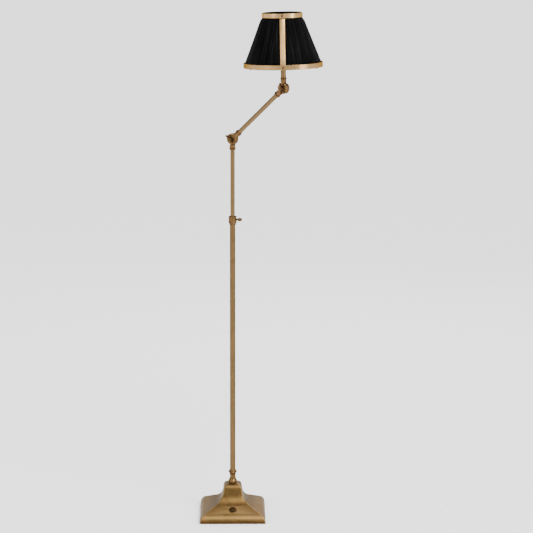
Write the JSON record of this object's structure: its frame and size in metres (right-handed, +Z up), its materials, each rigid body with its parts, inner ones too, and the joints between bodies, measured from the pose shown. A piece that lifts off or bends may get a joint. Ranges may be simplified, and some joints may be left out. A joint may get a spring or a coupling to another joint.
{
  "type": "pharmacy floor lamp",
  "caption": "Standing reading lamp: square ogee base, telescopic swivelling mast, friction-jointed arm, and a tilting pleated shade held by brass rings and straps.",
  "frame": {"origin": "centre of the base's underside, on the column's axis", "axes": "+Z up the column; +X from the column towards the side that the shade reaches over; -Y is the front, towards which the arm also reaches"},
  "size_m": [0.352, 0.2941, 1.5037],
  "materials": {
    "antique_brass": "antique satin with a lacquered patina",
    "dark_brass": "dark bronzed",
    "zinc_steel": "zinc plated",
    "grey_iron": "rough casting, painted",
    "bush_nylon": "moulded nylon",
    "porcelain": "glazed insulator",
    "switch_plastic": "moulded phenolic",
    "grommet_rubber": "moulded rubber",
    "base_felt": "pressed wool felt",
    "shade_fabric": "hand-pleated silk-like cloth",
    "shade_lining": "smooth lining cloth",
    "bulb_glass": "frosted inside",
    "bulb_cap": "thin drawn sheet"
  },
  "bodies": {
    "stand": {"base_felt": "base_felt", "base_plate": "zinc_steel", "base_plate_screws": "zinc_steel", "base_weight": "grey_iron", "base_shell": "antique_brass", "base_spacer": "zinc_steel", "base_nipple": "zinc_steel", "base_nut": "zinc_steel", "base_washer": "zinc_steel", "cord_grommet": "grommet_rubber", "foot_switch_body": "switch_plastic", "foot_switch_bezel": "antique_brass", "foot_finial": "antique_brass", "column_tube": "antique_brass", "column_plug": "antique_brass", "column_bush": "bush_nylon", "column_collar": "antique_brass"},
    "foot_switch": {"foot_switch_button": "dark_brass"},
    "thumb_screw": {"thumb_screw": "dark_brass"},
    "follower": {"follower_bush": "bush_nylon"},
    "mast": {"mast_tube": "antique_brass", "mast_circlips": "zinc_steel", "mast_ferrule": "antique_brass", "elbow_bolt": "dark_brass", "elbow_friction_ring": "bush_nylon", "elbow_washer": "antique_brass"},
    "elbow_nut": {"elbow_wing_nut": "dark_brass"},
    "arm": {"arm_lower_ferrule": "antique_brass", "arm_tube": "antique_brass", "arm_upper_ferrule": "antique_brass"},
    "head": {"head_ferrule": "antique_brass", "head_bolt": "dark_brass", "head_friction_ring": "bush_nylon", "head_washer": "antique_brass", "stem_tube": "antique_brass", "stem_sleeve": "antique_brass", "shade_carrier": "antique_brass", "carrier_screws": "dark_brass", "holder_cup": "antique_brass", "holder_shell": "antique_brass", "holder_insulator": "porcelain", "holder_thread": "antique_brass", "holder_contact": "antique_brass", "bulb_cap": "bulb_cap", "bulb_glass": "bulb_glass", "shade_bottom_ring": "antique_brass", "shade_top_ring": "antique_brass", "shade_straps": "antique_brass", "strap_rivets": "dark_brass", "shade_hoops": "zinc_steel", "shade_cover": "shade_fabric", "shade_lining": "shade_lining"},
    "head_nut": {"head_wing_nut": "dark_brass"}
  },
  "joints": [
    {"name": "foot_switch_press", "type": "slide", "parent": "stand", "child": "foot_switch", "axis": [0, 0.452, -0.892], "range_m": [0, 0.003], "stiffness_N_per_m": 600, "springref_m": -0.002},
    {"name": "thumb_screw_turn", "type": "hinge", "parent": "stand", "child": "thumb_screw", "pos_m": [0, 0, 0.8986], "axis": [1, 0, 0], "range_deg": [0, 360]},
    {"name": "mast_slide", "type": "slide", "parent": "stand", "child": "follower", "axis": [0, 0, 1], "range_m": [-0.19, 0.15]},
    {"name": "mast_swivel", "type": "hinge", "parent": "follower", "child": "mast", "pos_m": [0, 0, 0.65], "axis": [0, 0, 1], "range_deg": [-170, 170]},
    {"name": "elbow_tilt", "type": "hinge", "parent": "mast", "child": "arm", "pos_m": [0, 0, 1.135], "axis": [0.5, 0.866, 0], "range_deg": [-46, 70]},
    {"name": "elbow_wing_turn", "type": "hinge", "parent": "mast", "child": "elbow_nut", "pos_m": [0, 0, 1.135], "axis": [-0.5, -0.866, 0], "range_deg": [0, 360]},
    {"name": "head_tilt", "type": "hinge", "parent": "arm", "child": "head", "pos_m": [0.14409, -0.08319, 1.29015], "axis": [0.5, 0.866, 0], "range_deg": [-55, 90]},
    {"name": "head_wing_turn", "type": "hinge", "parent": "head", "child": "head_nut", "pos_m": [0.14409, -0.08319, 1.29015], "axis": [-0.5, -0.866, 0], "range_deg": [0, 360]}
  ]
}
